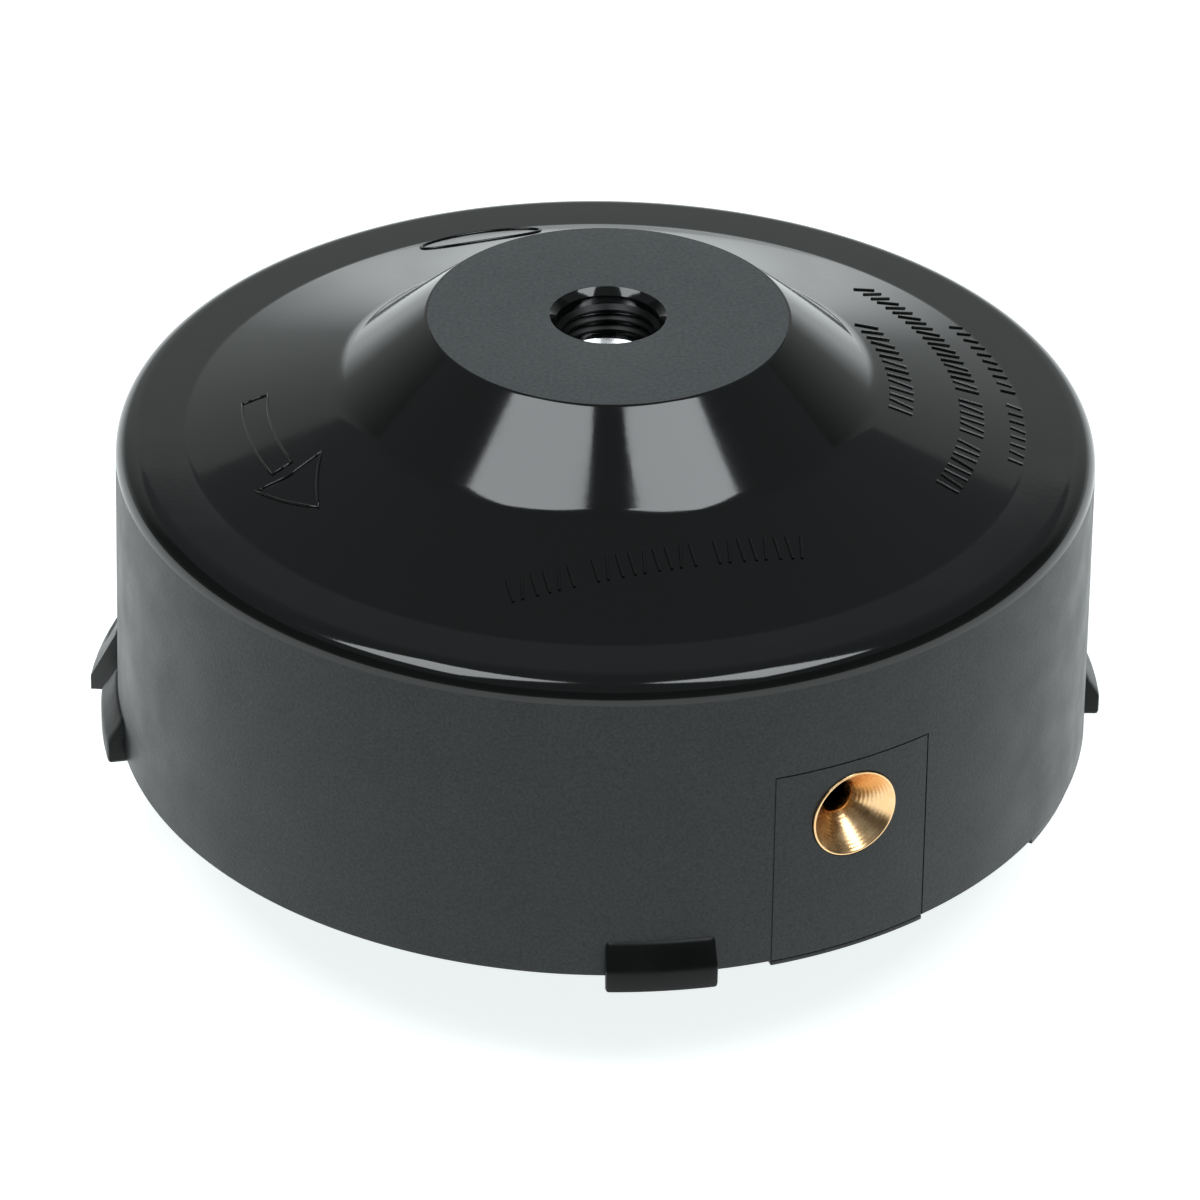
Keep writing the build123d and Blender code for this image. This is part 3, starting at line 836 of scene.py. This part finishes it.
def left_hand_thread(name, root, crest, top, low):
    """Helical ridge inside a bore, from top down to low."""
    bm = bmesh.new()
    foot = top - 2 * ridge_half
    corners = [(root + ridge_sunk, foot), (root, foot), (crest, top - ridge_half * 1.2),
               (crest, top - ridge_half * 0.8), (root, top), (root + ridge_sunk, top)]
    section = bm.faces.new([bm.verts.new((x * MM, 0, z * MM)) for x, z in corners])
    turns = (foot - low) / thread_pitch
    steps = round(turns * steps_per_turn)
    drop = -(foot - low) / steps
    bmesh.ops.spin(bm, geom=[section, *section.edges, *section.verts], cent=(0, 0, 0), axis=(0, 0, 1),
                   dvec=(0, 0, drop * MM), angle=2 * pi * turns, steps=steps, use_merge=False,
                   use_duplicate=False)
    bmesh.ops.recalc_face_normals(bm, faces=bm.faces)
    thing = object_from(bm, name)
    smooth(thing)
    return thing


pilot_thread = left_hand_thread("hub_thread", bore_radius, pilot_crest, pilot_top, -bore_depth)
pilot_thread.data.materials.append(lug_satin)
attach(pilot_thread, "housing")
thread_heights = [v.co.z / MM for v in pilot_thread.data.vertices]
print("thread spans", round(min(thread_heights), 2), "to", round(max(thread_heights), 2), "mm")

# %% [markdown]
# ## The arbor nut
#
# The nut is a plain hexagonal prism with softened edges. Its bore has a wide chamfer at both mouths,
# which is the bright ring seen down the hub, and its thread is the same ridge as above, smaller.

# %% The arbor nut
nut_top = -bore_depth
nut_bore, nut_crest = 5.0, 4.38
nut_bevel = 0.25
nut_mouth = 0.7
thread_inset = 0.5  # of the thread, from both faces

bm = hexagon(nut_flats, nut_low, nut_top)
bmesh.ops.bevel(bm, geom=bm.edges[:], offset=nut_bevel * MM, offset_type="OFFSET", affect="EDGES",
                segments=2, profile=0.5, material=-1)
bmesh.ops.recalc_face_normals(bm, faces=bm.faces)
nut = object_from(bm, "threaded_nut")
wide = nut_bore + nut_mouth + overrun
bore = spun([(0, nut_low - overrun), (wide, nut_low - overrun), (nut_bore, nut_low + nut_mouth),
             (nut_bore, nut_top - nut_mouth), (wide, nut_top + overrun), (0, nut_top + overrun)], 96)
carve(nut, object_from(bore, "nut bore"))
smooth(nut)
ridge = left_hand_thread("nut thread", nut_bore, nut_crest, nut_top - thread_inset, nut_low + thread_inset)
bm = bmesh.new()
bm.from_mesh(nut.data)
bm.from_mesh(ridge.data)
bm.to_mesh(nut.data)
bm.free()
bpy.data.objects.remove(ridge)
smooth(nut)
nut.data.materials.clear()
nut.data.materials.append(nut_steel)
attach(nut, "housing")
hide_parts("arbor_nut")
print("nut:", len(nut.data.polygons), "faces")

# %% [markdown]
# ## Brass eyelets
#
# Nylon line at full speed would saw through plastic, so it leaves through a brass trumpet. Its bell
# opens from the throat to the mouth almost as a straight cone. A power curve gives the slight flare: a
# power of 1 would be a straight cone, and this one is a little more.

# %% Eyelets
mouth_radius, throat_radius = 4.95, 1.75
bell_depth = 4.0
bell_power = 1.12
bell_steps = 18
lip_inner, lip_outer, step_rounding = 0.06, 0.12, 0.05
back_rounding, throat_rounding = 0.2, 0.3


def eyelet(name, bearing, node):
    """Turned brass eyelet at a bearing."""
    bell = [(throat_radius + (mouth_radius - throat_radius) * (i / bell_steps) ** bell_power,
             -bell_depth * (1 - i / bell_steps)) for i in range(bell_steps)]
    rim = rounded([
        (mouth_radius, 0, lip_inner),
        (flange_radius, 0, lip_outer),
        (flange_radius, -flange_depth, step_rounding),
        (body_radius, -flange_depth, step_rounding),
        (body_radius, -body_end, back_rounding),
        (throat_radius, -body_end, throat_rounding),
        (throat_radius, -bell_depth, 0),
    ], step_angle=20)
    outline = [tuple(p) for p in rim[:-1]] + bell
    bm = spun(outline, 128)
    bmesh.ops.translate(bm, vec=(0, 0, eyelet_face * MM), verts=bm.verts)
    bmesh.ops.transform(bm, matrix=facing(bearing, eyelet_height), verts=bm.verts)
    thing = object_from(bm, name)
    thing.data.materials.append(turned_brass(f"turned brass {bearing:.0f}", bearing, eyelet_height))
    smooth(thing, 40)
    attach(thing, "housing")
    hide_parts(node)
    return thing


front_eyelet = eyelet("brass_eyelet_front", eyelet_bearings[0], "eyelet_front")
eyelet("brass_eyelet_rear", eyelet_bearings[1], "eyelet_rear")
print("eyelet:", len(front_eyelet.data.polygons), "faces each")

# %% [markdown]
# ## Raised marks on the deck
#
# The deck carries a raised arrow that shows which way the head turns, and raised rows where the real
# mould has words. Words stay off a shared part, so plain tally strokes take their place. Every stroke
# is a thin round bead, half sunk in the plastic: a curve with a bevel is the simplest way to lay one
# along the cone, and it becomes a mesh at the end.

# %% Beads on the deck
bead_radius = 0.17
bead_lift = 0.04  # of a bead's middle above the plastic
bead_step = 1.5


def on_deck(radius, bearing):
    """Point on the deck's cone."""
    rise = (foot_height - crest_height) * (ring_radius - radius) / (ring_radius - foot_radius)
    return place(radius, bearing, crest_height + rise + bead_lift)


def bead(curve, corners, closed):
    """Adds one bead through (radius, bearing) corners, following the deck between them."""
    ends = list(zip(corners, corners[1:] + corners[:1] if closed else corners[1:]))
    points = []
    for (r0, b0), (r1, b1) in ends:
        length = hypot(r1 - r0, radians(b1 - b0) * (r0 + r1) / 2)
        steps = max(1, ceil(length / bead_step))
        points += [on_deck(r0 + (r1 - r0) * i / steps, b0 + (b1 - b0) * i / steps) for i in range(steps)]
    if not closed:
        points.append(on_deck(*corners[-1]))
    spline = curve.splines.new("POLY")
    spline.points.add(len(points) - 1)
    for point, where in zip(spline.points, points):
        point.co = (*where, 1)
    spline.use_cyclic_u = closed


def mesh_of(curve, name, material):
    """Smooth mesh object of one material from a curve with a bevel."""
    drawn = bpy.data.objects.new(name, curve)
    bpy.context.scene.collection.objects.link(drawn)
    mesh = bpy.data.meshes.new_from_object(drawn.evaluated_get(bpy.context.evaluated_depsgraph_get()))
    bpy.data.objects.remove(drawn)
    thing = bpy.data.objects.new(name, mesh)
    bpy.context.scene.collection.objects.link(thing)
    mesh.materials.clear()
    mesh.materials.append(material)
    mesh.shade_smooth()
    return thing


def beads(name, lines):
    """Object made of several beads, each a list of corners and whether it is closed."""
    curve = bpy.data.curves.new(name, "CURVE")
    curve.dimensions = "3D"
    curve.bevel_depth, curve.bevel_resolution = bead_radius * MM, 1
    curve.use_fill_caps = True
    for corners, closed in lines:
        bead(curve, corners, closed)
    thing = mesh_of(curve, name, polished)
    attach(thing, "housing")
    return thing


shaft = [(40.8, -89.0), (38.0, -89.8), (37.7, -66.4), (40.2, -65.8)]
head = [(42.7, -64.0), (39.1, -63.4), (34.5, -65.1), (37.0, -58.6), (39.3, -52.6), (41.2, -58.2)]
arrow = beads("rotation_arrow", [(shaft, True), (head, True)])
print("arrow:", len(arrow.data.polygons), "faces")

# %% [markdown]
# ## Rows of tally strokes
#
# Each row is about as long and as tall as a row of words on the real mould, with gaps between groups
# of strokes, so the deck is about as busy as the real one. A row follows the deck's curve or a straight
# line. Every third stroke leans a little, which keeps a row from looking like a comb.

# %% Rows of strokes and a blank badge
stroke_lean = 0.2
badge_radius, badge_bearing = 44.5, -160
badge_half_width, badge_half_angle = 2.6, 9.5


def strokes(start, end, words, height, straight=False):
    """Tally strokes from one (radius, bearing) to another, in groups with gaps between them."""
    slots = sum(words) + len(words) - 2
    ends = [place(*corner, 0) / MM for corner in (start, end)]
    lines, slot = [], 0
    for count in words:
        for index in range(count):
            share = slot / slots
            if straight:
                spot = ends[0].lerp(ends[1], share)
                across = (ends[1] - ends[0]).cross(Vector((0, 0, -1))).normalized() * height / 2
            else:
                spot = place(*[a + (b - a) * share for a, b in zip(start, end)], 0) / MM
                across = spot.normalized() * height / 2
            lean = across.cross(Vector((0, 0, 1))) * (stroke_lean if index % 3 == 1 else 0)
            tips = [spot + across + lean, spot - across - lean]
            lines.append(([(tip.length, degrees(atan2(tip.x, -tip.y))) for tip in tips], False))
            slot += 1
        slot += 1
    return lines


side_rows = strokes((33, 83), (33, 117), (14,), 2.7) + strokes((41, 67), (41, 134), (8, 6, 20), 2.7)
side_rows += strokes((46.2, 81), (46.2, 120), (8, 10), 1.7)
beads("side_strokes", side_rows)
beads("front_strokes", strokes((41.0, -14.1), (37.9, 34.3), (6, 9, 8), 3.0, straight=True))
badge_outline = [(badge_radius + badge_half_width * sin(radians(a)),
                  badge_bearing + badge_half_angle * cos(radians(a))) for a in range(0, 360, 12)]
beads("blank_badge", [(badge_outline, True)])
print("strokes:", len(side_rows), "at the side")

# %% [markdown]
# ## The feed spring
#
# The spring holds the spool down. When the knob is bumped, the spool comes up and the spring shortens
# by the whole travel. A fixed coil would then run through the spool. This one is drawn again as a wire
# along a helix, and its length when bumped is worked out and printed.

# %% The spring as a wire
spring_low, spring_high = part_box("feed_spring")
wire_radius = 0.9
coil_turns = 5.5
coil_radius = (spring_high.x - spring_low.x) / 2 / MM - wire_radius
coil_low, coil_high = spring_low.z / MM + wire_radius, spring_high.z / MM - wire_radius
spring_length = (spring_high.z - spring_low.z) / MM
bumped_length = spring_length - bump_travel

wire = bpy.data.curves.new("feed spring wire", "CURVE")
wire.dimensions = "3D"
wire.bevel_depth, wire.bevel_resolution = wire_radius * MM, 3
wire.use_fill_caps = True
helix = wire.splines.new("POLY")
helix_steps = round(coil_turns * steps_per_turn)
helix.points.add(helix_steps)
for step, point in enumerate(helix.points):
    share = step / helix_steps
    height = coil_low + (coil_high - coil_low) * share
    point.co = (*place(coil_radius, 90 + 360 * coil_turns * share, height), 1)
spring = mesh_of(wire, "coil_spring", wire_steel)
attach(spring, "housing")
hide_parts("feed_spring")
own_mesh(spring)
print("spring:", round(spring_length, 1), "mm long at rest,", round(bumped_length, 1), "mm bumped")

# %% [markdown]
# ## The pieces below and inside
#
# The cover, the spool, the knob and the small steel pieces keep their CAD shape, which is already
# right. They only need the finish of what they are made of.

# %% Finishes for the CAD pieces
finishes = {
    "cover": cover_satin, "spool": spool_satin, "bump_knob": knob_satin,
    "nut_washer": zinc_steel, "spring_seat": zinc_steel,
    "knob_screw": zinc_steel, "screw_washer": zinc_steel,
}
for node, material in finishes.items():
    data = frame["nodes"][node].data
    data.materials.clear()
    data.materials.append(material)
print("finished:", ", ".join(finishes))

# %% [markdown]
# ## The CAD box
#
# The box that the CAD model took up when it was loaded is printed.

# %% The CAD box's size
print("CAD box", [round(v / MM, 2) for corner in cad_box for v in corner])
